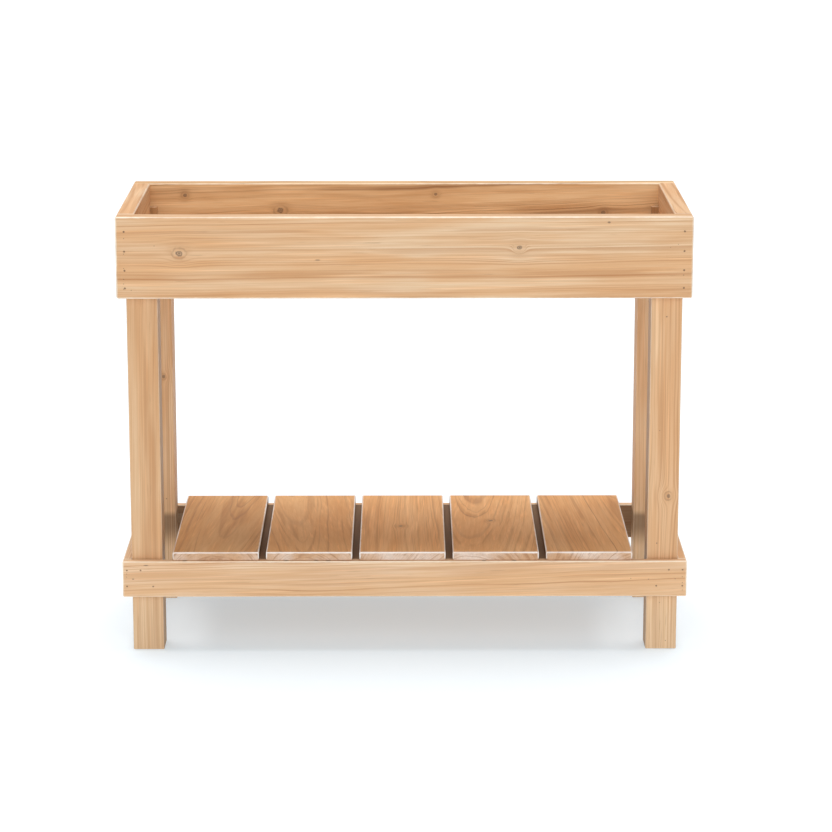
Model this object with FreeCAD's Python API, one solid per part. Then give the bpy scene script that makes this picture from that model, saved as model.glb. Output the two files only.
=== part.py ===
import FreeCAD, Part
import os
from collections import namedtuple

# A cedar potting bench: an open tray on four square legs, with a slatted shelf near the floor.
# Millimetres. X runs left to right, Y front to back and Z up. The origin is on the floor, under
# the middle of the bench, and the front faces -Y.

# Driving dimensions
BENCH_LENGTH = 1219.0
BENCH_DEPTH = 496.0
BENCH_HEIGHT = 956.0  # floor to tray rim
THICK_STOCK = 38.0  # tray walls
THIN_STOCK = 19.0  # rails, slats, floor boards and ledgers
LEG_SIZE = 67.0  # square section
LEG_INSET = 19.0  # from the tray's outer faces to the legs' outer faces

# Tray
TRAY_WALL_HEIGHT = 176.0
TONGUE_HEIGHT = 57.0  # how far a leg rises inside the tray
LEDGER_HEIGHT = 38.0
FLOOR_BOARDS = 6
FLOOR_BOARD_WIDTH = 186.5
FLOOR_END_GAP = 2.0  # between a floor board's end and the tray wall
CORNER_BLOCK_SIZE = 16.0
CORNER_BLOCK_DROP = 52.0  # from the rim to the top of a corner block

# Shelf
RAIL_BOTTOM = 124.0
RAIL_HEIGHT = 80.0
SLATS = 5
SLAT_WIDTH = 186.5
SLAT_GAP = 15.0
SLAT_SETBACK = 5.0  # from a rail's outer face to the slat's end
SLAT_ROW_SHIFT = -5.0  # the row sits a little left of centre
BATTEN_WIDTH = 60.0  # under each gap between two slats

# Rounded edges
WALL_ROUNDING = 5.0
RAIL_ROUNDING = 3.5
SLAT_ROUNDING = 3.0
LEG_ROUNDING = 3.0
FOOT_ROUNDING = 1.5
INNER_ROUNDING = 1.5

# Fasteners
Fastener = namedtuple("Fastener", "length shank_radius head_radius head_height")
WALL_NAIL = Fastener(80.0, 1.7, 2.2, 2.0)
RAIL_NAIL = Fastener(50.0, 1.4, 1.9, 1.6)
BRAD = Fastener(38.0, 1.0, 1.4, 1.2)
SHORT_BRAD = Fastener(32.0, 1.0, 1.4, 1.2)
LEG_SCREW = Fastener(74.0, 2.3, 4.5, 2.6)
POINT_LENGTH = 3.0  # the taper at a fastener's tip
HEAD_SINK = 0.8  # how far a head is set below the timber's face
WALL_NAIL_DROPS = (32.0, 74.0, 115.0, 153.0)  # below the rim
RAIL_NAIL_DROPS = (20.0, 56.0)  # below the rail's top edge
SIDE_RAIL_NAIL_DROPS = (30.0, 46.0)  # clear of the nails that come from the front and back
LEG_NAIL_FRACTIONS = (0.3, 0.7)  # across a leg
SLAT_NAIL_OFFSET = 60.0  # either side of a board's middle
SLAT_NAIL_INSET = 12.0  # from a rail's outer face
BATTEN_NAIL_OFFSET = 20.0  # either side of a batten's middle
BATTEN_NAIL_RUNS = (-180.0, -60.0, 60.0, 180.0)  # along a batten, from the middle of the bench
SCREW_HEIGHTS = {"front_back": (22.0, 35.0), "side": (11.0, 46.0)}  # above the legs' shoulders
SIDE_SCREW_INSET = 34.0  # from the tray wall to the screws that run left and right
LEDGER_NAILS = 5
LEDGER_NAIL_MARGIN = 60.0
BLOCK_NAIL_DROPS = (12.0, 34.0)  # below a corner block's top, one for each wall

# Worked-out sizes
HALF_LENGTH = BENCH_LENGTH / 2
HALF_DEPTH = BENCH_DEPTH / 2
TRAY_BOTTOM = BENCH_HEIGHT - TRAY_WALL_HEIGHT
LEG_INNER = LEG_INSET + LEG_SIZE  # from the outer faces to the legs' inner faces
TONGUE_TOP = TRAY_BOTTOM + TONGUE_HEIGHT
FLOOR_TOP = TONGUE_TOP + THIN_STOCK
RAIL_TOP = RAIL_BOTTOM + RAIL_HEIGHT
SLAT_TOP = RAIL_TOP + THIN_STOCK

ENDS = {"left": -1, "right": 1}
FACES = {"front": -1, "back": 1}
X_AXIS = FreeCAD.Vector(1, 0, 0)
Y_AXIS = FreeCAD.Vector(0, 1, 0)
Z_AXIS = FreeCAD.Vector(0, 0, 1)

timber = {}
fasteners = {}
bores = []


def inward(side, half_size, near, far):
    """The range between two distances measured inward from the outer face on one side."""
    return tuple(sorted((side * (half_size - near), side * (half_size - far))))


def board(x_range, y_range, z_range):
    """A square-edged piece of timber that fills three ranges."""
    corner = FreeCAD.Vector(x_range[0], y_range[0], z_range[0])
    sizes = [high - low for low, high in (x_range, y_range, z_range)]
    return Part.makeBox(*sizes, corner)


def edges_along(solid, axis):
    """The straight edges of a square-edged board that run along one axis."""
    return [edge for edge in solid.Edges if abs(edge.tangentAt(edge.FirstParameter).dot(axis)) > 0.99]


def wrapping_board(face, z_range, thickness, rounding):
    """A full-length board that covers the ends of the boards beside it. Every edge is rounded but
    the two upright ones that meet those boards."""
    inner_face = face * (HALF_DEPTH - thickness)
    solid = board((-HALF_LENGTH, HALF_LENGTH), inward(face, HALF_DEPTH, 0, thickness), z_range)
    upright = [edge for edge in edges_along(solid, Z_AXIS) if abs(edge.CenterOfMass.y - inner_face) > 1]
    rounded = edges_along(solid, X_AXIS) + edges_along(solid, Y_AXIS) + upright
    return solid.makeFillet(rounding, rounded)


def side_board(end, z_range, thickness, rounding):
    """A front-to-back board whose ends butt against the two wrapping boards."""
    half_run = HALF_DEPTH - thickness
    solid = board(inward(end, HALF_LENGTH, 0, thickness), (-half_run, half_run), z_range)
    return solid.makeFillet(rounding, edges_along(solid, Y_AXIS))


def row_of_boards(count, width, pitch, middle):
    """The left-to-right range of each board in an evenly spaced row."""
    first = middle - pitch * (count - 1) / 2
    centres = [first + pitch * i for i in range(count)]
    return [(centre - width / 2, centre + width / 2) for centre in centres]


def make_tray_walls():
    z_range = (TRAY_BOTTOM, BENCH_HEIGHT)
    for name, face in FACES.items():
        timber[f"tray_{name}_board"] = wrapping_board(face, z_range, THICK_STOCK, WALL_ROUNDING)
    for name, end in ENDS.items():
        timber[f"tray_{name}_board"] = side_board(end, z_range, THICK_STOCK, WALL_ROUNDING)


def make_tray_floor():
    """Boards laid front to back on two ledgers and on the tops of the legs."""
    half_ledger = HALF_LENGTH - LEG_INNER
    for name, face in FACES.items():
        y_range = inward(face, HALF_DEPTH, THICK_STOCK, THICK_STOCK + THIN_STOCK)
        z_range = (TONGUE_TOP - LEDGER_HEIGHT, TONGUE_TOP)
        timber[f"tray_{name}_ledger"] = board((-half_ledger, half_ledger), y_range, z_range)
    inside_length = BENCH_LENGTH - 2 * THICK_STOCK
    gap = (inside_length - FLOOR_BOARDS * FLOOR_BOARD_WIDTH) / (FLOOR_BOARDS + 1)
    half_run = HALF_DEPTH - THICK_STOCK - FLOOR_END_GAP
    x_ranges = row_of_boards(FLOOR_BOARDS, FLOOR_BOARD_WIDTH, FLOOR_BOARD_WIDTH + gap, 0.0)
    for number, x_range in enumerate(x_ranges, 1):
        solid = board(x_range, (-half_run, half_run), (TONGUE_TOP, FLOOR_TOP))
        rounded = solid.makeFillet(INNER_ROUNDING, edges_along(solid, Y_AXIS))
        timber[f"tray_floor_board_{number}"] = rounded


def make_corner_blocks():
    """Short blocks that tie the walls together in the corners above the tray floor."""
    far = THICK_STOCK + CORNER_BLOCK_SIZE
    for face_name, face in FACES.items():
        for end_name, end in ENDS.items():
            x_range = inward(end, HALF_LENGTH, THICK_STOCK, far)
            y_range = inward(face, HALF_DEPTH, THICK_STOCK, far)
            z_range = (FLOOR_TOP, BENCH_HEIGHT - CORNER_BLOCK_DROP)
            timber[f"corner_block_{face_name}_{end_name}"] = board(x_range, y_range, z_range)


def make_legs():
    """Each leg's head is cut back on its two outer faces, which leaves a shoulder under the tray
    walls and a tongue that rises inside their corner."""
    for face_name, face in FACES.items():
        for end_name, end in ENDS.items():
            x_range = inward(end, HALF_LENGTH, LEG_INSET, LEG_INNER)
            y_range = inward(face, HALF_DEPTH, LEG_INSET, LEG_INNER)
            post = board(x_range, y_range, (0.0, TONGUE_TOP))
            post = post.makeFillet(LEG_ROUNDING, edges_along(post, Z_AXIS))
            foot = [edge for edge in post.Edges if edge.BoundBox.ZMax < 0.01]
            post = post.makeFillet(FOOT_ROUNDING, foot)
            head = (TRAY_BOTTOM, TONGUE_TOP)
            side_rebate = board(inward(end, HALF_LENGTH, 0, THICK_STOCK), y_range, head)
            face_rebate = board(x_range, inward(face, HALF_DEPTH, 0, THICK_STOCK), head)
            timber[f"leg_{face_name}_{end_name}"] = post.cut([side_rebate, face_rebate])


def make_shelf_frame():
    """Rails that wrap round the legs."""
    z_range = (RAIL_BOTTOM, RAIL_TOP)
    for name, face in FACES.items():
        timber[f"shelf_{name}_rail"] = wrapping_board(face, z_range, THIN_STOCK, RAIL_ROUNDING)
    for name, end in ENDS.items():
        timber[f"shelf_{name}_rail"] = side_board(end, z_range, THIN_STOCK, RAIL_ROUNDING)


def make_shelf_slats():
    half_run = HALF_DEPTH - SLAT_SETBACK
    x_ranges = row_of_boards(SLATS, SLAT_WIDTH, SLAT_WIDTH + SLAT_GAP, SLAT_ROW_SHIFT)
    for number, x_range in enumerate(x_ranges, 1):
        slat = board(x_range, (-half_run, half_run), (RAIL_TOP, SLAT_TOP))
        timber[f"shelf_slat_{number}"] = slat.makeFillet(SLAT_ROUNDING, slat.Edges)


def make_shelf_battens():
    """Flat battens between the rails, one under each gap, that tie neighbouring slats together."""
    half_run = HALF_DEPTH - THIN_STOCK
    z_range = (RAIL_TOP - THIN_STOCK, RAIL_TOP)
    pitch = SLAT_WIDTH + SLAT_GAP
    x_ranges = row_of_boards(SLATS - 1, BATTEN_WIDTH, pitch, SLAT_ROW_SHIFT)
    for number, x_range in enumerate(x_ranges, 1):
        solid = board(x_range, (-half_run, half_run), z_range)
        rounded = solid.makeFillet(INNER_ROUNDING, edges_along(solid, Y_AXIS))
        timber[f"shelf_batten_{number}"] = rounded


def drive(group, kind, x, y, z, direction):
    """Drives a fastener into the timber's face at a point. Its bore has the fastener's own shape,
    and goes on to the face above the sunk head."""
    outline = [
        (0, 0),
        (kind.head_radius, 0),
        (kind.head_radius, kind.head_height),
        (kind.shank_radius, kind.head_height),
        (kind.shank_radius, kind.length - POINT_LENGTH),
        (0, kind.length),
        (0, 0),
    ]
    profile = Part.makePolygon([FreeCAD.Vector(radius, 0, depth) for radius, depth in outline])
    solid = Part.Face(profile).revolve(FreeCAD.Vector(), Z_AXIS, 360)
    above = FreeCAD.Vector(0, 0, -2 * HEAD_SINK)
    recess = Part.makeCylinder(kind.head_radius, 2 * HEAD_SINK, above)
    point = FreeCAD.Vector(x, y, z) + direction * HEAD_SINK
    place = FreeCAD.Placement(point, FreeCAD.Rotation(Z_AXIS, direction))
    solid.Placement = place
    recess.Placement = place.multiply(recess.Placement)
    fasteners.setdefault(group, []).append(solid)
    bores.extend([solid, recess])


def nail_tray_corners():
    for face in FACES.values():
        for end in ENDS.values():
            x = end * (HALF_LENGTH - THICK_STOCK / 2)
            for drop in WALL_NAIL_DROPS:
                z = BENCH_HEIGHT - drop
                drive("tray_corner_nails", WALL_NAIL, x, face * HALF_DEPTH, z, Y_AXIS * -face)


def screw_legs_to_tray():
    """Two screws through each tongue into each of the walls that it stands against."""
    tongue = LEG_INNER - THICK_STOCK
    for face in FACES.values():
        for end in ENDS.values():
            for height in SCREW_HEIGHTS["front_back"]:
                x = end * (HALF_LENGTH - THICK_STOCK - tongue / 2)
                y = face * (HALF_DEPTH - LEG_INNER)
                drive("leg_screws", LEG_SCREW, x, y, TRAY_BOTTOM + height, Y_AXIS * face)
            for height in SCREW_HEIGHTS["side"]:
                x = end * (HALF_LENGTH - LEG_INNER)
                y = face * (HALF_DEPTH - THICK_STOCK - SIDE_SCREW_INSET)
                drive("leg_screws", LEG_SCREW, x, y, TRAY_BOTTOM + height, X_AXIS * end)


def nail_tray_floor():
    for face in FACES.values():
        y = face * (HALF_DEPTH - THICK_STOCK - THIN_STOCK / 2)
        for number in range(1, FLOOR_BOARDS + 1):
            middle = timber[f"tray_floor_board_{number}"].BoundBox.Center.x
            for x in (middle - SLAT_NAIL_OFFSET, middle + SLAT_NAIL_OFFSET):
                drive("tray_floor_nails", BRAD, x, y, FLOOR_TOP, -Z_AXIS)


def nail_ledgers():
    reach = HALF_LENGTH - LEG_INNER - LEDGER_NAIL_MARGIN
    for face in FACES.values():
        y = face * (HALF_DEPTH - THICK_STOCK - THIN_STOCK)
        for i in range(LEDGER_NAILS):
            x = reach * (2 * i / (LEDGER_NAILS - 1) - 1)
            drive("ledger_nails", BRAD, x, y, TONGUE_TOP - LEDGER_HEIGHT / 2, Y_AXIS * face)


def nail_corner_blocks():
    """One brad into the end wall and one, lower down, into the front or back wall."""
    top = BENCH_HEIGHT - CORNER_BLOCK_DROP
    inner = THICK_STOCK + CORNER_BLOCK_SIZE
    middle = THICK_STOCK + CORNER_BLOCK_SIZE / 2
    upper, lower = (top - drop for drop in BLOCK_NAIL_DROPS)
    for face in FACES.values():
        for end in ENDS.values():
            x, y = end * (HALF_LENGTH - inner), face * (HALF_DEPTH - middle)
            drive("corner_block_nails", BRAD, x, y, upper, X_AXIS * end)
            x, y = end * (HALF_LENGTH - middle), face * (HALF_DEPTH - inner)
            drive("corner_block_nails", BRAD, x, y, lower, Y_AXIS * face)


def nail_shelf_corners():
    for face in FACES.values():
        for end in ENDS.values():
            x = end * (HALF_LENGTH - THIN_STOCK / 2)
            for drop in RAIL_NAIL_DROPS:
                z = RAIL_TOP - drop
                drive("shelf_corner_nails", RAIL_NAIL, x, face * HALF_DEPTH, z, Y_AXIS * -face)


def nail_rails_to_legs():
    """Two nails, set on a diagonal, through each rail into each leg beside it."""
    for face in FACES.values():
        for end in ENDS.values():
            for fraction, drop in zip(LEG_NAIL_FRACTIONS, RAIL_NAIL_DROPS):
                x = end * (HALF_LENGTH - LEG_INSET - fraction * LEG_SIZE)
                y = face * HALF_DEPTH
                drive("rail_to_leg_nails", RAIL_NAIL, x, y, RAIL_TOP - drop, Y_AXIS * -face)
            for fraction, drop in zip(LEG_NAIL_FRACTIONS, SIDE_RAIL_NAIL_DROPS):
                x = end * HALF_LENGTH
                y = face * (HALF_DEPTH - LEG_INSET - fraction * LEG_SIZE)
                drive("rail_to_leg_nails", RAIL_NAIL, x, y, RAIL_TOP - drop, X_AXIS * -end)


def nail_battens():
    """Brads driven up through each batten into the slats on both sides of its gap."""
    for number in range(1, SLATS):
        middle = timber[f"shelf_batten_{number}"].BoundBox.Center.x
        for x in (middle - BATTEN_NAIL_OFFSET, middle + BATTEN_NAIL_OFFSET):
            for y in BATTEN_NAIL_RUNS:
                drive("batten_nails", SHORT_BRAD, x, y, RAIL_TOP - THIN_STOCK, Z_AXIS)


def nail_slats():
    """Two brads through each slat into each of the two rails under it."""
    reach = HALF_DEPTH - SLAT_NAIL_INSET
    for number in range(1, SLATS + 1):
        middle = timber[f"shelf_slat_{number}"].BoundBox.Center.x
        for x in (middle - SLAT_NAIL_OFFSET, middle + SLAT_NAIL_OFFSET):
            for y in (-reach, reach):
                drive("slat_nails", BRAD, x, y, SLAT_TOP, -Z_AXIS)


def bored(solid):
    """The timber with a bore for every fastener that enters it."""
    box = solid.BoundBox
    near = [bore for bore in bores if bore.BoundBox.intersect(box)]
    return solid.cut(near) if near else solid


make_tray_walls()
make_tray_floor()
make_corner_blocks()
make_legs()
make_shelf_frame()
make_shelf_slats()
make_shelf_battens()

nail_tray_corners()
screw_legs_to_tray()
nail_tray_floor()
nail_ledgers()
nail_corner_blocks()
nail_shelf_corners()
nail_rails_to_legs()
nail_battens()
nail_slats()

os.makedirs("parts", exist_ok=True)
for name, solid in timber.items():
    bored(solid).exportStep(f"parts/{name}.step")
for name, solids in fasteners.items():
    Part.makeCompound(solids).exportStep(f"parts/{name}.step")
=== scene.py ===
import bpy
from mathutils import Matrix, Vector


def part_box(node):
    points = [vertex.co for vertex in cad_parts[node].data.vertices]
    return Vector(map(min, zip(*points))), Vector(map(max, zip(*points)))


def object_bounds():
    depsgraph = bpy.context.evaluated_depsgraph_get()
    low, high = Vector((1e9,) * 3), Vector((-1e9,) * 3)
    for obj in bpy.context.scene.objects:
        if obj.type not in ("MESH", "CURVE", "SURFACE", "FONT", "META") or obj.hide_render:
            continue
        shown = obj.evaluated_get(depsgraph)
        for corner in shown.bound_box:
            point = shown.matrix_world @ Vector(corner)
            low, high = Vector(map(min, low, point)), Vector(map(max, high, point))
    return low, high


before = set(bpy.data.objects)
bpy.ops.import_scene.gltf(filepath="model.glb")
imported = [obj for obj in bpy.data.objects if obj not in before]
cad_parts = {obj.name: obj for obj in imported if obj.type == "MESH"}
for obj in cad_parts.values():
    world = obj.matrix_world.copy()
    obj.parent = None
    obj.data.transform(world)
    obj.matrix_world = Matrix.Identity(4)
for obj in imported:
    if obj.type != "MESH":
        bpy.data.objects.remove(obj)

import copy
import math

import bpy
from mathutils import Vector

# A cedar potting bench. Metres. X runs left to right, Y front to back and Z up, and the front
# faces -Y. Every timber's material is cut from a log of its own: growth rings round a pith line
# that runs beside the board, so that its faces, edges and ends agree with each other.

CAD_LOW, CAD_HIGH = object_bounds()

AXES = {"x": Vector((1, 0, 0)), "y": Vector((0, 1, 0)), "z": Vector((0, 0, 1))}


def tint(red, green, blue):
    """A colour given as screen values from 0 to 255, in linear light."""

    def linear(level):
        share = level / 255
        return share / 12.92 if share < 0.04 else ((share + 0.055) / 1.055) ** 2.4

    return (linear(red), linear(green), linear(blue), 1.0)


# ---------------------------------------------------------------- building node trees


def new_node(tree, kind, **settings):
    node = tree.nodes.new(kind)
    for name, value in settings.items():
        setattr(node, name, value)
    return node


def feed(tree, socket, value):
    """Links a socket to another one, or sets it to a plain value."""
    if isinstance(value, bpy.types.NodeSocket):
        tree.links.new(value, socket)
    else:
        socket.default_value = value


def calc(tree, operation, *values):
    node = new_node(tree, "ShaderNodeMath", operation=operation)
    for socket, value in zip(node.inputs, values):
        feed(tree, socket, value)
    return node.outputs[0]


def vector(tree, operation, *values):
    """A vector sum. SCALE takes the vector and then the factor."""
    node = new_node(tree, "ShaderNodeVectorMath", operation=operation)
    sockets = [node.inputs[0], node.inputs["Scale"]] if operation == "SCALE" else node.inputs
    for socket, value in zip(sockets, values):
        feed(tree, socket, value)
    return node.outputs["Value" if operation in ("DOT_PRODUCT", "LENGTH") else "Vector"]


def parts_of(tree, value):
    """The X, Y and Z of a vector."""
    node = new_node(tree, "ShaderNodeSeparateXYZ")
    feed(tree, node.inputs[0], value)
    return node.outputs


def ramp(tree, value, low, high, start=0.0, end=1.0):
    """start below low and end above high, with a smooth passage between them."""
    node = new_node(tree, "ShaderNodeMapRange", interpolation_type="SMOOTHSTEP")
    for socket, given in zip(node.inputs, (value, low, high, start, end)):
        feed(tree, socket, given)
    return node.outputs[0]


def noise(tree, place, scale, detail=2.0, roughness=0.5):
    node = new_node(tree, "ShaderNodeTexNoise", noise_dimensions="3D")
    feed(tree, node.inputs["Vector"], place)
    feed(tree, node.inputs["Scale"], scale)
    node.inputs["Detail"].default_value = detail
    node.inputs["Roughness"].default_value = roughness
    return node.outputs["Fac"]


def noise_along(tree, value, scale, detail):
    """Noise along one number, such as a ring count."""
    node = new_node(tree, "ShaderNodeTexNoise", noise_dimensions="1D")
    feed(tree, node.inputs["W"], value)
    feed(tree, node.inputs["Scale"], scale)
    node.inputs["Detail"].default_value = detail
    return node.outputs["Fac"]


def off_middle(tree, value):
    """How far a noise or a fraction is above its middle, or below it as a minus."""
    return calc(tree, "SUBTRACT", value, 0.5)


def blend(tree, factor, first, second, mode="MIX"):
    node = new_node(tree, "ShaderNodeMix", data_type="RGBA", blend_type=mode)
    feed(tree, node.inputs["Factor"], factor)
    feed(tree, node.inputs["A"], first)
    feed(tree, node.inputs["B"], second)
    return node.outputs["Result"]


def new_group(name, inputs, outputs):
    """An empty shader group. inputs and outputs map a socket's name to Float, Vector or Color."""
    tree = bpy.data.node_groups.new(name, "ShaderNodeTree")
    for direction, sockets in (("INPUT", inputs), ("OUTPUT", outputs)):
        for socket, kind in sockets.items():
            tree.interface.new_socket(name=socket, in_out=direction, socket_type=f"NodeSocket{kind}")
    given = tree.nodes.new("NodeGroupInput").outputs
    wanted = tree.nodes.new("NodeGroupOutput").inputs
    return tree, given, wanted


def place_group(tree, group, **values):
    """Places a group in a tree. Its sockets are named as in the group, with _ for a space."""
    node = new_node(tree, "ShaderNodeGroup", node_tree=group)
    for name, value in values.items():
        feed(tree, node.inputs[name.replace("_", " ")], value)
    return node.outputs


# ---------------------------------------------------------------- groups for timber


def make_growth_group():
    """The growth rings of a log, its slow changes of tone, its fibres and its fine flecks."""
    tree, given, wanted = new_group(
        "Cedar Growth",
        {
            "Position": "Vector",
            "Pith": "Vector",
            "Grain": "Vector",
            "Ring Width": "Float",
            "Ring Start": "Float",
            "Waviness": "Float",
            "Bend": "Float",
            "Seed": "Float",
        },
        {
            "Latewood": "Float",
            "Band": "Float",
            "Cloud": "Float",
            "Fibre": "Float",
            "Hair": "Float",
            "Thread": "Float",
            "Fleck": "Float",
        },
    )
    from_pith = vector(tree, "SUBTRACT", given["Position"], given["Pith"])
    run = vector(tree, "DOT_PRODUCT", from_pith, given["Grain"])
    across = vector(tree, "SUBTRACT", from_pith, vector(tree, "SCALE", given["Grain"], run))
    offset = vector(tree, "SCALE", (0.71, 0.37, 0.53), given["Seed"])

    def stretched(share):
        """The position with its run along the grain shortened, which draws noise out along it."""
        short = vector(tree, "SCALE", given["Grain"], calc(tree, "MULTIPLY", run, share))
        return vector(tree, "ADD", vector(tree, "ADD", across, short), offset)

    def noise_by_rings(rings, shift, scale, detail):
        """Noise that is the same all along a ring. Each shift gives a noise of its own."""
        start = calc(tree, "MULTIPLY", given["Seed"], shift)
        return noise_along(tree, calc(tree, "ADD", rings, start), scale, detail)

    # The ring count, from the distance to the pith. Rings wander and aren't equally wide.
    slow = off_middle(tree, noise(tree, stretched(0.25), 5.5, 1.5))
    quick = off_middle(tree, noise(tree, stretched(0.16), 30.0, 2.0))
    wander = calc(tree, "MULTIPLY_ADD", quick, 0.2, slow)
    wander = calc(tree, "MULTIPLY", wander, calc(tree, "MULTIPLY", given["Waviness"], 2.0))
    distance = calc(tree, "ADD", vector(tree, "LENGTH", across), wander)
    distance = calc(tree, "ADD", distance, given["Bend"])
    even_count = calc(tree, "DIVIDE", distance, given["Ring Width"])
    uneven = off_middle(tree, noise_by_rings(even_count, 1.0, 0.31, 2.0))
    count = calc(tree, "MULTIPLY_ADD", uneven, 3.4, even_count)

    # Latewood darkens slowly through each ring and ends sharply. Some rings are fainter, and
    # each fades here and there along the grain.
    phase = calc(tree, "FRACT", count)
    rise = ramp(tree, phase, given["Ring Start"], 0.92)
    fall = ramp(tree, phase, 0.94, 1.0, 1.0, 0.0)
    chance = new_node(tree, "ShaderNodeTexWhiteNoise", noise_dimensions="1D")
    feed(tree, chance.inputs["W"], calc(tree, "ADD", calc(tree, "FLOOR", count), given["Seed"]))
    strength = calc(tree, "POWER", chance.outputs["Value"], 1.4)
    strength = calc(tree, "MULTIPLY_ADD", strength, 0.8, 0.2)
    fading = ramp(tree, noise(tree, stretched(0.07), 34.0, 1.0), 0.36, 0.6, 0.55, 1.0)
    strength = calc(tree, "MULTIPLY", strength, fading)
    dark = calc(tree, "MULTIPLY", rise, fall)
    feed(tree, wanted["Latewood"], calc(tree, "MULTIPLY", dark, strength))

    # Broad tan bands that follow the rings, and clouds that don't
    band = noise_by_rings(count, 3.0, 0.13, 2.5)
    patch = noise(tree, stretched(0.11), 38.0, 2.0)
    feed(tree, wanted["Band"], ramp(tree, calc(tree, "ADD", band, patch), 0.68, 1.32))
    cloud = noise(tree, stretched(0.18), 13.0, 2.0)
    feed(tree, wanted["Cloud"], ramp(tree, cloud, 0.36, 0.72))

    # Thin dark hair lines along the rings, broken off here and there
    off_line = calc(tree, "ABSOLUTE", off_middle(tree, noise_by_rings(count, 5.0, 0.55, 0.0)))
    hair = ramp(tree, off_line, 0.015, 0.1, 1.0, 0.0)
    present = ramp(tree, noise(tree, stretched(0.06), 55.0, 1.0), 0.38, 0.6)
    feed(tree, wanted["Hair"], calc(tree, "MULTIPLY", hair, present))

    # Fibres, pale threads and short flecks, all drawn out far along the grain
    fine = calc(tree, "MULTIPLY", noise(tree, stretched(0.014), 330.0, 3.0, 0.65), 0.65)
    coarse = noise(tree, stretched(0.03), 120.0, 2.0)
    feed(tree, wanted["Fibre"], calc(tree, "MULTIPLY_ADD", coarse, 0.35, fine))
    thread = noise(tree, vector(tree, "ADD", stretched(0.012), (0.4, 0.2, 0.3)), 220.0, 1.0)
    feed(tree, wanted["Thread"], ramp(tree, thread, 0.56, 0.74))
    fleck = noise(tree, stretched(0.045), 300.0, 1.0)
    feed(tree, wanted["Fleck"], ramp(tree, fleck, 0.7, 0.78))
    return tree


def make_knot_group():
    """One knot: a branch that crosses the board along Axis. The grain flows round it as water
    flows round a post, and Bend is how far that moves the rings."""
    tree, given, wanted = new_group(
        "Cedar Knot",
        {
            "Position": "Vector",
            "Centre": "Vector",
            "Axis": "Vector",
            "Grain": "Vector",
            "Radius": "Float",
            "Rim": "Float",
            "Flow": "Float",
            "Seed": "Float",
        },
        {"Bend": "Float", "Core": "Float", "Bark": "Float", "Halo": "Float"},
    )
    # How far from the branch's middle line, in radii. A knot is a little longer than it is wide,
    # and its outline is ragged.
    from_centre = vector(tree, "SUBTRACT", given["Position"], given["Centre"])
    depth = vector(tree, "DOT_PRODUCT", from_centre, given["Axis"])
    flat = vector(tree, "SUBTRACT", from_centre, vector(tree, "SCALE", given["Axis"], depth))
    run = calc(tree, "MULTIPLY", vector(tree, "DOT_PRODUCT", flat, given["Grain"]), 0.85)
    sideways = vector(tree, "CROSS_PRODUCT", given["Axis"], given["Grain"])
    side = vector(tree, "DOT_PRODUCT", flat, sideways)
    size = calc(tree, "MULTIPLY_ADD", side, side, calc(tree, "MULTIPLY", run, run))
    near = calc(tree, "DIVIDE", calc(tree, "SQRT", size), given["Radius"])
    offset = vector(tree, "SCALE", (0.3, 0.9, 0.6), given["Seed"])
    place = vector(tree, "ADD", given["Position"], offset)
    ragged = off_middle(tree, noise(tree, place, 130.0, 2.0))
    rough = calc(tree, "MULTIPLY_ADD", ragged, 0.5, near)

    # The core has rings of its own, the bark is a broken rim, and a soft halo lies round both.
    turns = off_middle(tree, calc(tree, "FRACT", calc(tree, "MULTIPLY", rough, 4.0)))
    turns = ramp(tree, calc(tree, "ABSOLUTE", turns), 0.1, 0.4, 1.0, 0.5)
    core = ramp(tree, rough, 0.36, 0.6, 1.0, 0.0)
    feed(tree, wanted["Core"], calc(tree, "MULTIPLY", core, turns))
    off_rim = calc(tree, "ABSOLUTE", calc(tree, "SUBTRACT", rough, 0.95))
    rim = ramp(tree, off_rim, 0.04, 0.26, 1.0, 0.0)
    broken = ramp(tree, noise(tree, place, 60.0, 1.0), 0.4, 0.6, 0.3, 1.0)
    broken = calc(tree, "MULTIPLY", broken, given["Rim"])
    feed(tree, wanted["Bark"], calc(tree, "MULTIPLY", rim, broken))
    feed(tree, wanted["Halo"], ramp(tree, rough, 0.8, 2.4, 1.0, 0.0))

    # The rings flow past it on one side or the other, and swell a little close to it.
    far = calc(tree, "MAXIMUM", near, 1.0)
    squared = calc(tree, "MULTIPLY", far, far)
    cubed = calc(tree, "MULTIPLY", squared, far)
    flow = calc(tree, "DIVIDE", calc(tree, "MULTIPLY", side, given["Flow"]), squared)
    swell = calc(tree, "DIVIDE", calc(tree, "MULTIPLY", given["Radius"], 0.5), cubed)
    feed(tree, wanted["Bend"], calc(tree, "SUBTRACT", swell, flow))
    return tree


def make_mark_group():
    """A small dark mark, such as a pin hole, a stain or a painted shadow, drawn out by Stretch."""
    tree, given, wanted = new_group(
        "Small Mark",
        {"Position": "Vector", "Place": "Vector", "Stretch": "Vector", "Radius": "Float"},
        {"Mask": "Float"},
    )
    apart = vector(tree, "SUBTRACT", given["Position"], given["Place"])
    size = vector(tree, "LENGTH", vector(tree, "DIVIDE", apart, given["Stretch"]))
    inner = calc(tree, "MULTIPLY", given["Radius"], 0.5)
    outer = calc(tree, "MULTIPLY", given["Radius"], 1.3)
    feed(tree, wanted["Mask"], ramp(tree, size, inner, outer, 1.0, 0.0))
    return tree


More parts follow.
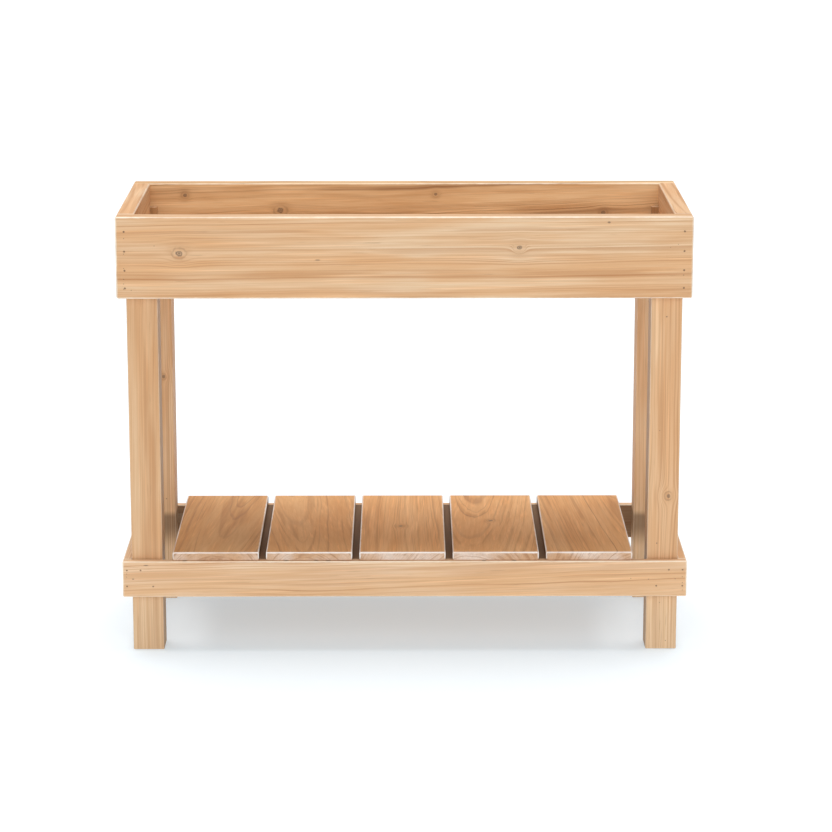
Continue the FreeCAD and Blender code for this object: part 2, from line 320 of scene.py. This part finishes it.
def make_edge_group():
    """How near a point is to one of a board's twelve edges: 1 on the rounded edge and 0 on the
    faces, with an uneven border, and stronger in some places than in others. The pale colour
    laid there is partly wear and partly a painted highlight. Underside is the share of it that
    the board's lower edges have."""
    tree, given, wanted = new_group(
        "Eased Edges",
        {
            "Position": "Vector",
            "Centre": "Vector",
            "Half Size": "Vector",
            "Width": "Float",
            "Underside": "Float",
        },
        {"Edge": "Float"},
    )
    # A point on an edge is close to two faces, so the second smallest of the distances counts.
    from_centre = vector(tree, "SUBTRACT", given["Position"], given["Centre"])
    outward = vector(tree, "ABSOLUTE", from_centre)
    x, y, z = parts_of(tree, vector(tree, "SUBTRACT", given["Half Size"], outward))
    least = calc(tree, "MINIMUM", x, y)
    most = calc(tree, "MAXIMUM", x, y)
    second = calc(tree, "MAXIMUM", least, calc(tree, "MINIMUM", most, z))

    grit = off_middle(tree, noise(tree, given["Position"], 60.0, 3.0))
    grit = calc(tree, "MULTIPLY", grit, given["Width"])
    reach = calc(tree, "MULTIPLY_ADD", grit, 0.6, second)
    inner = calc(tree, "MULTIPLY", given["Width"], 0.4)
    outer = calc(tree, "MULTIPLY", given["Width"], 1.15)
    edge = ramp(tree, reach, inner, outer, 1.0, 0.0)
    handled = ramp(tree, noise(tree, given["Position"], 7.0, 2.0), 0.34, 0.6, 0.6, 1.0)
    relative = parts_of(tree, vector(tree, "DIVIDE", from_centre, given["Half Size"]))
    # The lower edges get less of the pale wear and painted highlight
    lower_edge_share = ramp(tree, relative["Z"], -0.9, -0.1, given["Underside"], 1.0)
    worn_and_lit = calc(tree, "MULTIPLY", edge, handled)
    feed(tree, wanted["Edge"], calc(tree, "MULTIPLY", worn_and_lit, lower_edge_share))
    return tree


def make_colour_group():
    """Cedar's colour from its masks: pale spring wood, darker rings, slow bands, fine fibres, painted
    shade, and pale edges of wear and painted highlight.
    """
    inputs = {name: "Color" for name in ("Pale", "Tan", "Warm", "Ring", "End", "Worn And Lit")}
    masks = (
        "Latewood",
        "Band",
        "Cloud",
        "Fibre",
        "Hair",
        "Thread",
        "Fleck",
        "Core",
        "Bark",
        "Halo",
        "Mark",
        "Edge",
        "End Grain",
        "Grime",
        "Ring Strength",
        "Hair Strength",
        "Edge Strength",
    )
    inputs.update({name: "Float" for name in masks})
    tree, given, wanted = new_group("Cedar Colour", inputs, {"Color": "Color"})
    knot_heart = tint(110, 88, 68)
    knot_bark = tint(150, 112, 76)
    painted_shade = tint(66, 46, 30)
    dark_fibre = (0.94, 0.89, 0.83, 1.0)
    pale_fibre = (1.03, 1.06, 1.10, 1.0)

    def laid_over(under, mask, share, colour):
        """A colour over another one where a mask is, at a share of the mask's strength."""
        return blend(tree, calc(tree, "MULTIPLY", given[mask], share), under, colour)

    body = blend(tree, given["Band"], given["Pale"], given["Tan"])
    body = laid_over(body, "Cloud", 0.5, given["Warm"])
    body = laid_over(body, "Halo", 0.18, given["Ring"])
    body = laid_over(body, "Latewood", given["Ring Strength"], given["Ring"])
    fibres = blend(tree, ramp(tree, given["Fibre"], 0.34, 0.66), dark_fibre, pale_fibre)
    body = blend(tree, 1.0, body, fibres, "MULTIPLY")
    body = laid_over(body, "Hair", given["Hair Strength"], given["Ring"])
    threads = calc(tree, "MULTIPLY_ADD", given["Thread"], 0.12, 1.0)
    body = blend(tree, 1.0, body, threads, "MULTIPLY")
    body = laid_over(body, "Fleck", 0.25, knot_bark)

    ends = laid_over(given["End"], "Cloud", 0.4, given["Worn And Lit"])
    ends = laid_over(ends, "Hair", 0.4, given["Ring"])
    ends = laid_over(ends, "Latewood", 0.8, given["Ring"])
    cut_fibres = ramp(tree, given["Fibre"], 0.36, 0.64, 0.92, 1.07)
    ends = blend(tree, 1.0, ends, cut_fibres, "MULTIPLY")
    body = blend(tree, given["End Grain"], body, ends)

    body = laid_over(body, "Bark", 0.4, knot_bark)
    body = laid_over(body, "Core", 0.85, knot_heart)
    body = laid_over(body, "Mark", 0.75, knot_heart)
    # Painted shade, on the faces and low places listed for it
    body = blend(tree, given["Grime"], body, painted_shade)
    # Pale edges: partly wear, partly a painted highlight
    body = laid_over(body, "Edge", given["Edge Strength"], given["Worn And Lit"])
    feed(tree, wanted["Color"], body)
    return tree


def make_surface_group():
    """Relief and roughness of planed cedar: raised rings, open fibres, and a coarser end grain."""
    tree, given, wanted = new_group(
        "Cedar Surface",
        {
            "Position": "Vector",
            "Latewood": "Float",
            "Fibre": "Float",
            "Fleck": "Float",
            "Core": "Float",
            "Mark": "Float",
            "End Grain": "Float",
            "Edge": "Float",
        },
        {"Height": "Float", "Roughness": "Float"},
    )

    def summed(total, shares):
        """A total with a share of each of several masks added to it."""
        for mask, share in shares.items():
            total = calc(tree, "MULTIPLY_ADD", given[mask], share, total)
        return total

    height = calc(tree, "MULTIPLY", given["Latewood"], 0.35)
    height = summed(height, {"Fibre": 0.9, "Fleck": -0.5, "Core": 0.4, "Mark": -1.2})
    pores = noise(tree, given["Position"], 1900.0, 2.0)
    saw = noise(tree, given["Position"], 260.0, 3.0)
    coarse = calc(tree, "MULTIPLY", given["End Grain"], calc(tree, "ADD", pores, saw))
    feed(tree, wanted["Height"], calc(tree, "ADD", height, coarse))
    shares = {"Fibre": 0.22, "Latewood": -0.1, "End Grain": 0.22, "Core": -0.14, "Edge": 0.06}
    feed(tree, wanted["Roughness"], summed(0.5, shares))
    return tree


def make_shelf_shade_group():
    """Painted shade under the shelf's slats and behind its rails. It is darkest between the
    heights Low and High, and fades out above and below."""
    tree, given, wanted = new_group(
        "Painted Shelf Shade",
        {"Position": "Vector", "Low": "Float", "High": "Float", "Share": "Float"},
        {"Shade Mask": "Float"},
    )
    height = parts_of(tree, given["Position"])["Z"]
    over_top = calc(tree, "SUBTRACT", height, given["High"])
    over_bottom = calc(tree, "SUBTRACT", height, given["Low"])
    under_slats = ramp(tree, over_top, -0.012, 0.006, 1.0, 0.0)
    behind_rail = ramp(tree, over_bottom, -0.012, 0.05)
    shade_band = calc(tree, "MULTIPLY", under_slats, behind_rail)
    feed(tree, wanted["Shade Mask"], calc(tree, "MULTIPLY", shade_band, given["Share"]))
    return tree


def make_facing_group():
    """Share on the faces that look the way of Outward, and 0 on the others."""
    tree, given, wanted = new_group(
        "Facing",
        {"Normal": "Vector", "Outward": "Vector", "Share": "Float"},
        {"Mask": "Float"},
    )
    facing = vector(tree, "DOT_PRODUCT", given["Normal"], given["Outward"])
    feed(tree, wanted["Mask"], ramp(tree, facing, 0.55, 0.85, 0.0, given["Share"]))
    return tree


GROWTH = make_growth_group()
KNOT = make_knot_group()
MARK = make_mark_group()
EDGES = make_edge_group()
COLOUR = make_colour_group()
SURFACE = make_surface_group()
SHELF_SHADE = make_shelf_shade_group()
FACING = make_facing_group()


# ---------------------------------------------------------------- kinds of timber


class Tones:
    """One kind of timber: its colours, how strongly its rings, its hair lines and its pale edges
    (partly wear, partly painted highlight) show, the width of those edges, and the share of
    them on the lower ones."""

    def __init__(self, pale, tan, warm, ring, end, worn_and_lit, rings, hairs, wear_and_highlight, edge, underside):
        self.colours = {"Pale": pale, "Tan": tan, "Warm": warm, "Ring": ring, "End": end, "Worn And Lit": worn_and_lit}
        self.rings = rings
        self.hairs = hairs
        self.wear_and_highlight = wear_and_highlight
        self.edge = edge
        self.underside = underside

    def shaded(self, share):
        """The same timber with its body colours darker and warmer, or lighter and cooler."""
        other = copy.copy(self)
        other.colours = dict(self.colours)
        for name in ("Pale", "Tan", "Warm", "Ring"):
            red, green, blue, alpha = self.colours[name]
            other.colours[name] = (red * share, green * share ** 1.1, blue * share ** 1.3, alpha)
        return other

    def with_pale_edges(self, wear_and_highlight):
        """The same timber with its pale edges of wear and painted highlight stronger or fainter."""
        other = copy.copy(self)
        other.wear_and_highlight = wear_and_highlight
        return other


WALL = Tones(
    pale=tint(226, 194, 158),
    tan=tint(217, 171, 126),
    warm=tint(215, 163, 114),
    ring=tint(176, 118, 68),
    end=tint(210, 174, 138),
    worn_and_lit=tint(250, 236, 216),
    rings=0.68,
    hairs=0.4,
    wear_and_highlight=0.95,
    edge=0.0036,
    underside=0.7,
)
END_WALL = WALL.with_pale_edges(0.6)
BACK_WALL = Tones(
    pale=tint(234, 199, 154),
    tan=tint(202, 155, 105),
    warm=tint(206, 158, 108),
    ring=tint(138, 92, 52),
    end=tint(210, 174, 138),
    worn_and_lit=tint(250, 236, 216),
    rings=0.8,
    hairs=0.5,
    wear_and_highlight=0.9,
    edge=0.003,
    underside=0.7,
)
POST = Tones(
    pale=tint(228, 193, 154),
    tan=tint(214, 165, 119),
    warm=tint(216, 166, 120),
    ring=tint(174, 119, 72),
    end=tint(212, 176, 140),
    worn_and_lit=tint(244, 226, 202),
    rings=0.58,
    hairs=0.36,
    wear_and_highlight=0.5,
    edge=0.0022,
    underside=0.6,
)
RAIL = Tones(
    pale=tint(230, 198, 164),
    tan=tint(221, 178, 135),
    warm=tint(223, 176, 130),
    ring=tint(178, 118, 70),
    end=tint(212, 176, 140),
    worn_and_lit=tint(250, 236, 214),
    rings=0.66,
    hairs=0.28,
    wear_and_highlight=0.9,
    edge=0.0031,
    underside=0.5,
)
SLAT = Tones(
    pale=tint(214, 167, 116),
    tan=tint(208, 155, 101),
    warm=tint(205, 148, 92),
    ring=tint(144, 90, 47),
    end=tint(202, 160, 124),
    worn_and_lit=tint(252, 246, 240),
    rings=0.48,
    hairs=0.3,
    wear_and_highlight=0.95,
    edge=0.0033,
    underside=0.0,
)
INNER = Tones(
    pale=tint(222, 182, 136),
    tan=tint(204, 158, 112),
    warm=tint(206, 156, 108),
    ring=tint(170, 120, 76),
    end=tint(210, 172, 134),
    worn_and_lit=tint(226, 198, 166),
    rings=0.6,
    hairs=0.25,
    wear_and_highlight=0.35,
    edge=0.0014,
    underside=1.0,
)


# ---------------------------------------------------------------- materials


def principled(name):
    """A new material with its Principled shader joined to its output."""
    material = bpy.data.materials.new(name)
    material.use_nodes = True
    tree = material.node_tree
    tree.nodes.clear()
    shader = new_node(tree, "ShaderNodeBsdfPrincipled")
    output = new_node(tree, "ShaderNodeOutputMaterial")
    tree.links.new(shader.outputs[0], output.inputs["Surface"])
    return material, tree, shader


def joined(tree, masks):
    """The strongest of several masks at each point, or a plain 0 where there are none."""
    result = 0.0
    for mask in masks:
        result = calc(tree, "MAXIMUM", result, mask)
    return result


def place_knots(tree, position, middle, grain, pith, seed, knots):
    """Places a group for each knot. The grain flows round a knot on the pith's side of it."""
    placed = []
    for number, (place, axis, radius, rim) in enumerate(knots):
        across = AXES[axis].cross(AXES[grain])
        outer = (Vector(place) - Vector(pith)).dot(across) > 0
        knot = place_group(
            tree,
            KNOT,
            Position=position,
            Centre=middle + Vector(place),
            Axis=AXES[axis],
            Grain=AXES[grain],
            Radius=radius,
            Rim=rim,
            Flow=0.8 if outer else -0.8,
            Seed=seed + number,
        )
        placed.append(knot)
    return placed


def spots_mask(tree, position, middle, grain, spots):
    """Where a board's small spots or soft streaks are."""
    masks = []
    for place, radius, stretch in spots:
        spot = place_group(
            tree,
            MARK,
            Position=position,
            Place=middle + Vector(place),
            Stretch=[stretch if axis == grain else 1.0 for axis in "xyz"],
            Radius=radius,
        )
        masks.append(spot["Mask"])
    return joined(tree, masks)


def facing_mask(tree, normal, faces):
    """The faces of a board, given as (the way they look, share)."""
    masks = []
    for outward, share in faces:
        face = place_group(tree, FACING, Normal=normal, Outward=outward, Share=share)
        masks.append(face["Mask"])
    return joined(tree, masks)


def painted_shade_mask(tree, position, normal, shaded_faces, shelf_shade):
    """Where shade is painted on a board: all over some of its faces, and low on a leg under the shelf.
    """
    on_faces = facing_mask(tree, normal, shaded_faces)
    if not shelf_shade:
        return on_faces
    low, high = (corner.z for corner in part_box("shelf_front_rail"))
    shade_band = place_group(tree, SHELF_SHADE, Position=position, Low=low, High=high, Share=shelf_shade)
    return joined(tree, [on_faces, shade_band["Shade Mask"]])


def cedar(
    node,
    grain,
    pith,
    lean,
    ring_width,
    waviness,
    seed,
    tones,
    knots=(),
    marks=(),
    streaks=(),
    ring_start=0.45,
    shaded_faces=(),
    shelf_shade=0.0,
    painted_light_spots=(),
):
    """Cuts one board's material from its log. pith is where the log's middle runs, from the
    board's middle, and lean is how far it drifts off the grain's axis per metre. ring_start is
    how far through a ring its dark part begins. knots are (place from the board's middle, axis
    letter, radius, how strongly the rim shows). marks and streaks are (place, radius, stretch
    along the grain), dark and soft tan; some marks are painted shadows. The faces listed for
    shade, as (the way they look, share), get painted shade, and the shelf share is painted shade
    low on a leg, under the shelf. The spots of painted light are painted paler."""
    low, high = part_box(node)
    middle, half = (low + high) / 2, (high - low) / 2
    material, tree, shader = principled(f"cedar_{node}")
    position = new_node(tree, "ShaderNodeTexCoord").outputs["Object"]
    normal = new_node(tree, "ShaderNodeNewGeometry").outputs["Normal"]
    placed_knots = place_knots(tree, position, middle, grain, pith, seed, knots)
    bend = 0.0
    for knot in placed_knots:
        bend = calc(tree, "ADD", bend, knot["Bend"])
    growth = place_group(
        tree,
        GROWTH,
        Position=position,
        Pith=middle + Vector(pith),
        Grain=(AXES[grain] + Vector(lean)).normalized(),
        Ring_Width=ring_width,
        Ring_Start=ring_start,
        Waviness=waviness,
        Bend=bend,
        Seed=seed,
    )
    edge = place_group(
        tree,
        EDGES,
        Position=position,
        Centre=middle,
        Half_Size=half,
        Width=tones.edge,
        Underside=tones.underside,
    )
    tan_streaks = spots_mask(tree, position, middle, grain, streaks)
    # Painted light: the darker bands and clouds are left out where the painted-light spots are
    outside_painted_light = calc(tree, "SUBTRACT", 1.0, spots_mask(tree, position, middle, grain, painted_light_spots))
    shared = {
        "Latewood": growth["Latewood"],
        "Fibre": growth["Fibre"],
        "Fleck": growth["Fleck"],
        "Core": joined(tree, [knot["Core"] for knot in placed_knots]),
        "Mark": spots_mask(tree, position, middle, grain, marks),
        "End_Grain": facing_mask(tree, normal, [(AXES[grain], 1.0), (-AXES[grain], 1.0)]),
        "Edge": edge["Edge"],
    }
    colour = place_group(
        tree,
        COLOUR,
        Band=calc(tree, "MULTIPLY", growth["Band"], outside_painted_light),
        Cloud=calc(tree, "MULTIPLY", joined(tree, [growth["Cloud"], tan_streaks]), outside_painted_light),
        Hair=growth["Hair"],
        Thread=growth["Thread"],
        Bark=joined(tree, [knot["Bark"] for knot in placed_knots]),
        Halo=joined(tree, [knot["Halo"] for knot in placed_knots]),
        Grime=painted_shade_mask(tree, position, normal, shaded_faces, shelf_shade),
        Ring_Strength=tones.rings,
        Hair_Strength=tones.hairs,
        Edge_Strength=tones.wear_and_highlight,
        **tones.colours,
        **shared,
    )
    surface = place_group(tree, SURFACE, Position=position, **shared)
    bump = new_node(tree, "ShaderNodeBump")
    bump.inputs["Strength"].default_value = 0.5
    bump.inputs["Distance"].default_value = 0.0006
    tree.links.new(surface["Height"], bump.inputs["Height"])
    tree.links.new(bump.outputs["Normal"], shader.inputs["Normal"])
    tree.links.new(colour["Color"], shader.inputs["Base Color"])
    tree.links.new(surface["Roughness"], shader.inputs["Roughness"])
    shader.inputs["Specular IOR Level"].default_value = 0.35
    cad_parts[node].material_slots[0].material = material


# ---------------------------------------------------------------- the bench's timbers

# From the middle of a timber to its face
WALL_FACE = 0.019
LEG_FACE = 0.0335
RAIL_FACE = 0.0095
SLAT_FACE = 0.0095

PIN = 0.0010  # the radius of a pin hole's mark


def on_front(spots, face):
    """Spots given as (X, Z, radius, stretch), on the front face of a timber."""
    return [((x, -face, z), radius, stretch) for x, z, radius, stretch in spots]


def finish_tray_front():
    knots = [
        ((-0.4748, -WALL_FACE, 0.0102), "y", 0.0125, 0.9),
        ((0.2424, -WALL_FACE, 0.0216), "y", 0.0105, 0.15),
    ]
    # Pin holes near both ends, then a fleck and a dark dash
    spots = [
        (-0.5908, 0.042, PIN, 1.0),
        (-0.5915, 0.0087, PIN, 1.0),
        (-0.5921, -0.0223, PIN, 1.0),
        (-0.5926, -0.0454, 0.0012, 1.2),
        (-0.5929, -0.0553, PIN, 1.0),
        (-0.5931, -0.0667, PIN, 1.0),
        (-0.5771, -0.0689, PIN, 1.0),
        (-0.527, 0.026, PIN, 1.0),
        (0.5898, -0.0374, 0.0011, 1.0),
        (0.5773, 0.0285, 0.0009, 1.0),
        (0.561, 0.022, 0.0008, 1.0),
        (0.4308, 0.0755, 0.0022, 1.6),
        (-0.1829, -0.0044, 0.0012, 5.0),
    ]
    # Soft tan streaks in the heartwood
    patches = [
        (-0.36, 0.003, 0.005, 13.0),
        (-0.084, -0.002, 0.014, 7.0),
        (0.129, -0.006, 0.019, 5.0),
        (0.35, 0.001, 0.009, 9.0),
        (0.536, -0.025, 0.006, 10.0),
    ]
    cedar(
        "tray_front_board",
        "x",
        pith=(0, 0.16, -0.34),
        lean=(0, 0.01, 0.012),
        ring_width=0.0074,
        waviness=0.008,
        seed=3.1,
        tones=WALL,
        knots=knots,
        marks=on_front(spots, WALL_FACE),
        streaks=on_front(patches, WALL_FACE),
        ring_start=0.6,
        # painted shade on its top face
        shaded_faces=[(AXES["z"], 0.07)],
    )


def finish_tray_back():
    knots = [
        ((-0.4933, -WALL_FACE, 0.0607), "y", 0.008, 0.5),
        ((-0.2787, -WALL_FACE, 0.0259), "y", 0.013, 0.9),
        ((0.0707, -WALL_FACE, 0.0629), "y", 0.0065, 0.4),
        ((0.4479, -WALL_FACE, 0.02), "y", 0.009, 0.5),
    ]
    cedar(
        "tray_back_board",
        "x",
        pith=(0, -0.09, -0.12),
        lean=(0, 0.03, 0.02),
        ring_width=0.0105,
        waviness=0.022,
        seed=8.7,
        tones=BACK_WALL,
        knots=knots,
        ring_start=0.62,
    )


def finish_tray_ends():
    # Side, pith, lean, ring width and seed
    boards = [
        ("left", (0.12, 0, -0.2), (0.02, 0, 0.02), 0.006, 12.4),
        ("right", (-0.1, 0, -0.2), (0.02, 0, -0.02), 0.0065, 17.9),
    ]
    for side, pith, lean, ring_width, seed in boards:
        cedar(
            f"tray_{side}_board",
            "y",
            pith=pith,
            lean=lean,
            ring_width=ring_width,
            waviness=0.009,
            seed=seed,
            tones=END_WALL,
        )


def finish_tray_inside():
    for side, seed in (("front", 21.3), ("back", 24.6)):
        cedar(
            f"tray_{side}_ledger",
            "x",
            pith=(0, 0.08, 0.05),
            lean=(0, 0.01, 0.01),
            ring_width=0.005,
            waviness=0.006,
            seed=seed,
            tones=INNER,
        )
    for number in range(1, 7):
        cedar(
            f"tray_floor_board_{number}",
            "y",
            pith=(0.05 * math.sin(number * 2.1), 0, -0.07),
            lean=(0.03, 0, 0.05),
            ring_width=0.007,
            waviness=0.01,
            seed=27.0 + 3.3 * number,
            tones=INNER,
        )
    for number, corner in enumerate(("front_left", "front_right", "back_left", "back_right")):
        cedar(
            f"corner_block_{corner}",
            "z",
            pith=(0.04, 0.05, 0),
            lean=(0, 0, 0),
            ring_width=0.004,
            waviness=0.003,
            seed=50.0 + number,
            # a darker tone: painted shade in the tray's inner corners
            tones=INNER.shaded(0.68),
        )


def finish_legs():
    front_right_knot = [((0.0108, -LEG_FACE, -0.0747), "y", 0.0085, 0.9)]
    back_left_knot = [((0.0118, -LEG_FACE, 0.1034), "y", 0.0068, 0.6)]
    front_right_spots = [
        (0.0003, 0.3188, 0.0016, 1.0),
        (-0.0102, 0.0702, PIN, 1.0),
        (-0.0123, -0.1801, 0.0015, 1.0),
        (-0.004, -0.3136, PIN, 1.0),
        (0.0103, -0.4, 0.0011, 1.0),
    ]
    back_left_spots = [(0.0128, -0.182, 0.0013, 1.0)]
    # Place, pith, ring width, seed, shade, knots, spots, and the share of painted shade on the face
    # that looks at the other legs: right from a left leg as a plus, left from a right leg as a minus
    legs = [
        ("front_left", (0.11, 0.13, 0), 0.0042, 61.0, 0.94, [], [], 0.36),
        ("front_right", (-0.1, 0.16, 0), 0.0044, 66.7, 1.0, front_right_knot, front_right_spots, -0.36),
        ("back_left", (0.1, -0.09, 0), 0.0044, 72.4, 0.99, back_left_knot, back_left_spots, 0),
        ("back_right", (-0.12, 0.1, 0), 0.0046, 78.1, 1.0, [], [], 0),
    ]
    foot = (0, 0, -0.4185)
    for place, pith, ring_width, seed, shade, knots, spots, painted_shade in legs:
        cedar(
            f"leg_{place}",
            "z",
            pith=pith,
            lean=(0.008, 0.006, 0),
            ring_width=ring_width,
            waviness=0.007,
            seed=seed,
            tones=POST.shaded(shade),
            knots=knots,
            marks=on_front(spots, LEG_FACE),
            ring_start=0.55,
            # painted shade on the inner face, and low on the leg under the shelf
            shaded_faces=[(AXES["x"] * math.copysign(1, painted_shade), abs(painted_shade))] if painted_shade else [],
            shelf_shade=0.6,
            # painted light: the foot is painted paler
            painted_light_spots=[(foot, 0.21, 1.0)],
        )


def finish_shelf_frame():
    # Pin holes near both ends, and a dash near the left one
    spots = [
        (-0.6005, 0.0119, PIN, 1.0),
        (-0.6007, 0.0052, PIN, 1.0),
        (-0.5868, 0.0005, 0.0012, 2.0),
        (-0.5586, 0.0312, 0.0012, 4.5),
        (0.5996, 0.0042, PIN, 1.0),
        (0.6, -0.0091, PIN, 1.0),
        (0.6002, -0.0255, PIN, 1.0),
        (0.5269, -0.001, PIN, 1.0),
        (0.4884, 0.0006, PIN, 1.0),
        (0.5843, -0.0001, PIN, 1.0),
    ]
    # Painted shadows: dark spots on its top edge, under the slats' ends
    slat_end_places = (-0.475, -0.256, -0.191, -0.165, 0.171, 0.236)
    slat_end_shadows = [((x, -0.005, 0.04), 0.0026, 2.2) for x in slat_end_places]
    cedar(
        "shelf_front_rail",
        "x",
        pith=(0, 0.1, -0.16),
        lean=(0, 0.012, 0.035),
        ring_width=0.0078,
        waviness=0.02,
        seed=91.2,
        tones=RAIL,
        marks=on_front(spots, RAIL_FACE) + slat_end_shadows,
        ring_start=0.66,
    )
    cedar(
        "shelf_back_rail",
        "x",
        pith=(0, -0.1, -0.1),
        lean=(0, 0.02, 0.02),
        ring_width=0.006,
        waviness=0.01,
        seed=95.5,
        tones=RAIL,
        # painted shade on its inner face
        shaded_faces=[(-AXES["y"], 0.6)],
    )
    sides = [
        ("left", (0.09, 0, 0.12), 99.8, AXES["x"]),
        ("right", (-0.09, 0, 0.1), 103.1, -AXES["x"]),
    ]
    for side, pith, seed, inward in sides:
        cedar(
            f"shelf_{side}_rail",
            "y",
            pith=pith,
            lean=(0.02, 0, 0.02),
            ring_width=0.006,
            waviness=0.008,
            seed=seed,
            tones=RAIL,
            # painted shade on their inner faces
            shaded_faces=[(inward, 0.4)],
        )
    for number in range(1, 5):
        cedar(
            f"shelf_batten_{number}",
            "y",
            pith=(0.03 * math.sin(number * 1.7), 0, -0.06),
            lean=(0.02, 0, 0.03),
            ring_width=0.006,
            waviness=0.008,
            seed=107.0 + 2.9 * number,
            # a darker tone and painted shade on their tops, as shade between the slats
            tones=INNER.shaded(0.8),
            shaded_faces=[(AXES["z"], 0.65)],
        )


def finish_slats():
    def knot_at(x, y):
        return ((x, y, SLAT_FACE), "z", 0.0095, 0.3)

    speck = ((0.0884, -0.1854, SLAT_FACE), 0.0018, 1.0)
    # Shade, pith, lean, ring width, knots and marks, from left to right
    slats = [
        (0.98, (0.02, 0, -0.06), (0.1, 0, 0.05), 0.0085, [], [speck]),
        (1.08, (-0.03, 0, -0.045), (-0.09, 0, 0.06), 0.009, [], []),
        (1.17, (0.16, 0, -0.1), (0.02, 0, 0.03), 0.006, [knot_at(-0.0041, -0.0288)], []),
        (1.17, (-0.05, 0, -0.08), (0.05, 0, 0.07), 0.008, [knot_at(-0.0039, 0.016)], []),
        (1.12, (0.1, 0, -0.07), (-0.06, 0, 0.04), 0.0075, [], []),
    ]
    for number, (shade, pith, lean, ring_width, knots, marks) in enumerate(slats, 1):
        cedar(
            f"shelf_slat_{number}",
            "y",
            pith=pith,
            lean=lean,
            ring_width=ring_width,
            waviness=0.014,
            seed=120.0 + 4.1 * number,
            tones=SLAT.shaded(shade),
            knots=knots,
            marks=marks,
            ring_start=0.72,
            # painted shade on the sides of the slats, in the gaps between them
            shaded_faces=[(AXES["x"], 0.6), (-AXES["x"], 0.6)],
        )


def finish_fasteners():
    """Dulled galvanised steel, brown where the heads sit in the timber."""
    material, tree, shader = principled("dulled_steel")
    position = new_node(tree, "ShaderNodeTexCoord").outputs["Object"]
    patches = noise(tree, position, 700.0, 3.0)
    colour = blend(tree, patches, tint(170, 132, 96), tint(112, 86, 64))
    tree.links.new(colour, shader.inputs["Base Color"])
    tree.links.new(ramp(tree, patches, 0.3, 0.7, 0.4, 0.7), shader.inputs["Roughness"])
    shader.inputs["Metallic"].default_value = 0.2
    for name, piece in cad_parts.items():
        if name.endswith(("nails", "screws")):
            piece.material_slots[0].material = material


# ---------------------------------------------------------------- floor, light and camera

FLOOR_SIZE = 40.0
FLOOR_DROP = 0.0005  # how far the floor lies under the feet
FLOOR_COLOUR = (0.64, 0.66, 0.68, 1.0)
FLOOR_GLOW = (0.76, 0.91, 1.0, 1.0)
FLOOR_GLOW_STRENGTH = 0.43
ROOM_LIGHT = 0.41
ROOM_SEEN_EXTRA = 0.61  # how much brighter the room looks than it lights
SUN_SPREAD = 50.0
CAMERA_PLACE = Vector((0.0013, -6.6134, 2.0148))
CAMERA_PITCH = math.radians(13.167)
CAMERA_YAW = math.radians(-0.212)
CAMERA_ROLL = math.radians(0.02)
CAMERA_LENS = 132.58
SENSOR_WIDTH = 36.0


def make_floor():
    mesh = bpy.data.meshes.new("floor")
    half = FLOOR_SIZE / 2
    level = CAD_LOW.z - FLOOR_DROP
    corners = [(-half, -half, level), (half, -half, level), (half, half, level), (-half, half, level)]
    mesh.from_pydata(corners, [], [(0, 1, 2, 3)])
    floor = bpy.data.objects.new("floor", mesh)
    bpy.context.scene.collection.objects.link(floor)
    material, _, shader = principled("pale_floor")
    shader.inputs["Base Color"].default_value = FLOOR_COLOUR
    shader.inputs["Emission Color"].default_value = FLOOR_GLOW
    shader.inputs["Emission Strength"].default_value = FLOOR_GLOW_STRENGTH
    shader.inputs["Roughness"].default_value = 0.9
    shader.inputs["Specular IOR Level"].default_value = 0.1
    mesh.materials.append(material)


def make_soft_sun(name, height, turn, strength):
    """A far soft light. height is its angle above the floor, and turn goes round from the front."""
    light = bpy.data.lights.new(name, "SUN")
    light.angle = math.radians(SUN_SPREAD)
    light.energy = strength
    lamp = bpy.data.objects.new(name, light)
    lamp.rotation_euler = (math.radians(90 - height), 0, math.radians(turn))
    bpy.context.scene.collection.objects.link(lamp)


def make_light():
    """A white room, seen brighter than it lights the bench, with soft lights above and in front."""
    world = bpy.data.worlds.new("studio")
    world.use_nodes = True
    tree = world.node_tree
    backdrop = tree.nodes["Background"]
    backdrop.inputs["Color"].default_value = (1.0, 1.0, 1.0, 1.0)
    seen = new_node(tree, "ShaderNodeLightPath").outputs["Is Camera Ray"]
    strength = calc(tree, "MULTIPLY_ADD", seen, ROOM_SEEN_EXTRA, ROOM_LIGHT)
    tree.links.new(strength, backdrop.inputs["Strength"])
    bpy.context.scene.world = world
    make_soft_sun("overhead", height=78.0, turn=180.0, strength=2.4)
    make_soft_sun("front", height=24.0, turn=0.0, strength=1.06)


def make_camera():
    camera = bpy.data.objects.new("camera", bpy.data.cameras.new("camera"))
    camera.data.sensor_width = SENSOR_WIDTH
    camera.data.lens = CAMERA_LENS
    camera.data.clip_end = 100.0
    camera.location = CAMERA_PLACE
    camera.rotation_euler = (math.pi / 2 - CAMERA_PITCH, CAMERA_ROLL, CAMERA_YAW)
    bpy.context.scene.collection.objects.link(camera)
    bpy.context.scene.camera = camera


finish_tray_front()
finish_tray_back()
finish_tray_ends()
finish_tray_inside()
finish_legs()
finish_shelf_frame()
finish_slats()
finish_fasteners()
make_floor()
make_light()
make_camera()
bpy.context.scene.view_settings.view_transform = "Standard"
